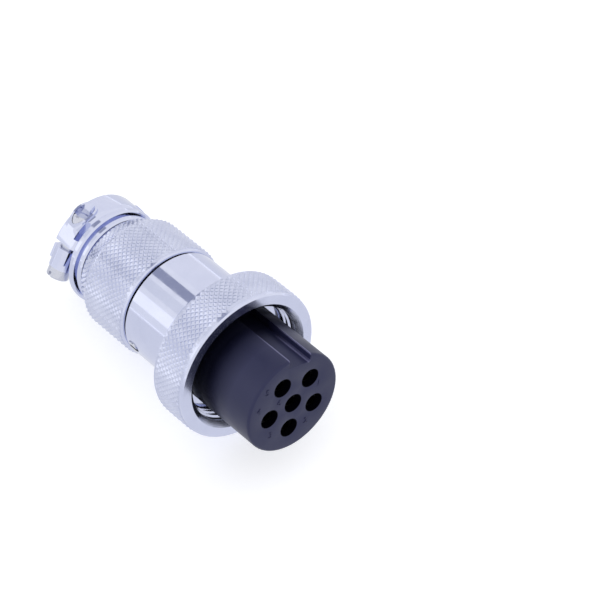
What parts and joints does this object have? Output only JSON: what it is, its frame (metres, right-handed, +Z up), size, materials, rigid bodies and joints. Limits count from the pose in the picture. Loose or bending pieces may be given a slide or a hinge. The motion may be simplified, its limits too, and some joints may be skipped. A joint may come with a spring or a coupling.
{
  "type": "aviation plug connector",
  "caption": "Cable-end plug of a screw-coupled circular connector, with keyed socket insert, knurled coupling nut, back sleeve and two-screw cable clamp.",
  "frame": {"origin": "centre of the insert's front face, on the axis of the plug", "axes": "+X out of the mating face along the axis, +Z up through the keyway; the clamp is turned 20 degrees from it towards +Y"},
  "size_m": [0.0472, 0.024, 0.024],
  "materials": {
    "polished_plating": "bright nickel-chrome plating on turned zinc or brass",
    "knurled_plating": "plated, with a fine diamond knurl",
    "screw_steel": "plated steel",
    "insert_plastic": "satin moulded plastic",
    "contact_metal": "plated copper alloy"
  },
  "bodies": {
    "plug": {"front_shell": "polished_plating", "insert_front": "insert_plastic", "insert_rear": "insert_plastic", "contact_1": "contact_metal", "contact_2": "contact_metal", "contact_3": "contact_metal", "contact_4": "contact_metal", "contact_5": "contact_metal", "contact_6": "contact_metal", "set_screw": "screw_steel"},
    "nut": {"coupling_nut": "knurled_plating"},
    "tail": {"tail_clamp": "polished_plating"},
    "sleeve": {"back_sleeve": "knurled_plating"},
    "saddle": {"clamp_saddle": "polished_plating"},
    "screw_near": {"clamp_screw_1": "screw_steel"},
    "screw_far": {"clamp_screw_2": "screw_steel"}
  },
  "joints": [
    {"name": "nut_spin", "type": "hinge", "parent": "plug", "child": "nut", "pos_m": [-0.0173, 0, 0], "axis": [1, 0, 0], "continuous": true},
    {"name": "tail_draw", "type": "slide", "parent": "plug", "child": "tail", "axis": [-1, 0, 0], "range_m": [0, 0.004]},
    {"name": "sleeve_unscrew", "type": "hinge", "parent": "tail", "child": "sleeve", "pos_m": [-0.0279, 0, 0], "axis": [-1, 0, 0], "range_deg": [0, 1440]},
    {"name": "saddle_travel", "type": "slide", "parent": "tail", "child": "saddle", "axis": [0, 0.342, 0.9397], "range_m": [-0.00135, 0.0007]},
    {"name": "near_screw_turn", "type": "hinge", "parent": "saddle", "child": "screw_near", "pos_m": [-0.0452, -0.00573, 0.00209], "axis": [0, 0.342, 0.9397], "range_deg": [-1085, 565]},
    {"name": "far_screw_turn", "type": "hinge", "parent": "saddle", "child": "screw_far", "pos_m": [-0.0452, 0.00573, -0.00209], "axis": [0, 0.342, 0.9397], "range_deg": [-1085, 565]}
  ],
  "couplings": [
    {"joint": "tail_draw", "follows": "sleeve_unscrew", "m_per_rad": 0.00015915},
    {"joint": "near_screw_turn", "follows": "saddle_travel", "rad_per_m": 13963},
    {"joint": "far_screw_turn", "follows": "saddle_travel", "rad_per_m": 13963}
  ]
}
